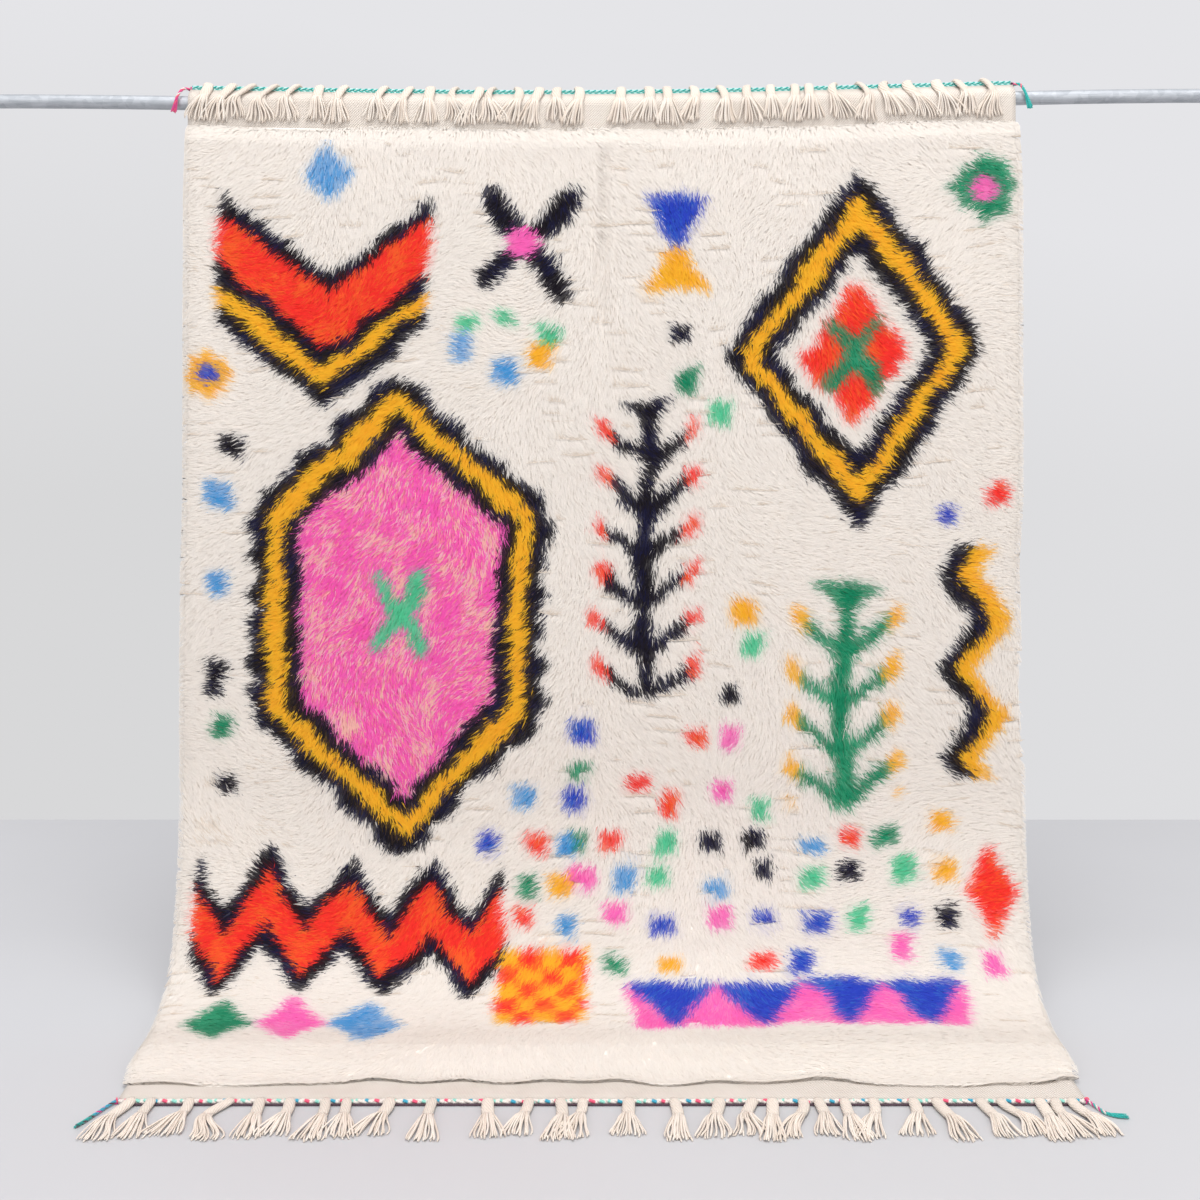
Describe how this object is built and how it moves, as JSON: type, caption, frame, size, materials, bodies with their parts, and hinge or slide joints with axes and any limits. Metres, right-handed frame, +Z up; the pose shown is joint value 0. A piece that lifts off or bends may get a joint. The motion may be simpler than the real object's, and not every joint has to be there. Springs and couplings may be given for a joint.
{
  "type": "beni ourain rug on a hanging rod",
  "caption": "Thick wool pile rug with flat end bands, twined edge cords and knotted fringe, hung from a straight steel rod with its lower end curving out onto the floor.",
  "frame": {"origin": "on the floor, under the middle of the box round the rod, the rug and its fringes", "axes": "+X along the rod to the right of a person facing the pile, -Y the way the pile faces, +Z up"},
  "size_m": [2.2, 0.5334, 1.6461],
  "materials": {
    "pile_wool": "long combed wool pile, cream with bright dyed motifs",
    "top_cord_yarn": "twined yarn, teal and off-white",
    "bottom_cord_yarn": "twined yarn, off-white with teal, coral and mint flecks",
    "fringe_yarn": "plied undyed yarn",
    "tail_yarn": "twisted yarn, teal, pink and off-white",
    "galvanised_steel": "galvanised, semi-matt"
  },
  "bodies": {
    "root": {"rug": "pile_wool", "top_cord": "top_cord_yarn", "bottom_cord": "bottom_cord_yarn", "top_fringe": "fringe_yarn", "bottom_fringe": "fringe_yarn", "tail_top_left": "tail_yarn", "tail_top_right": "tail_yarn", "tail_bottom_left": "tail_yarn", "tail_bottom_right": "tail_yarn", "rod": "galvanised_steel"}
  },
  "joints": []
}
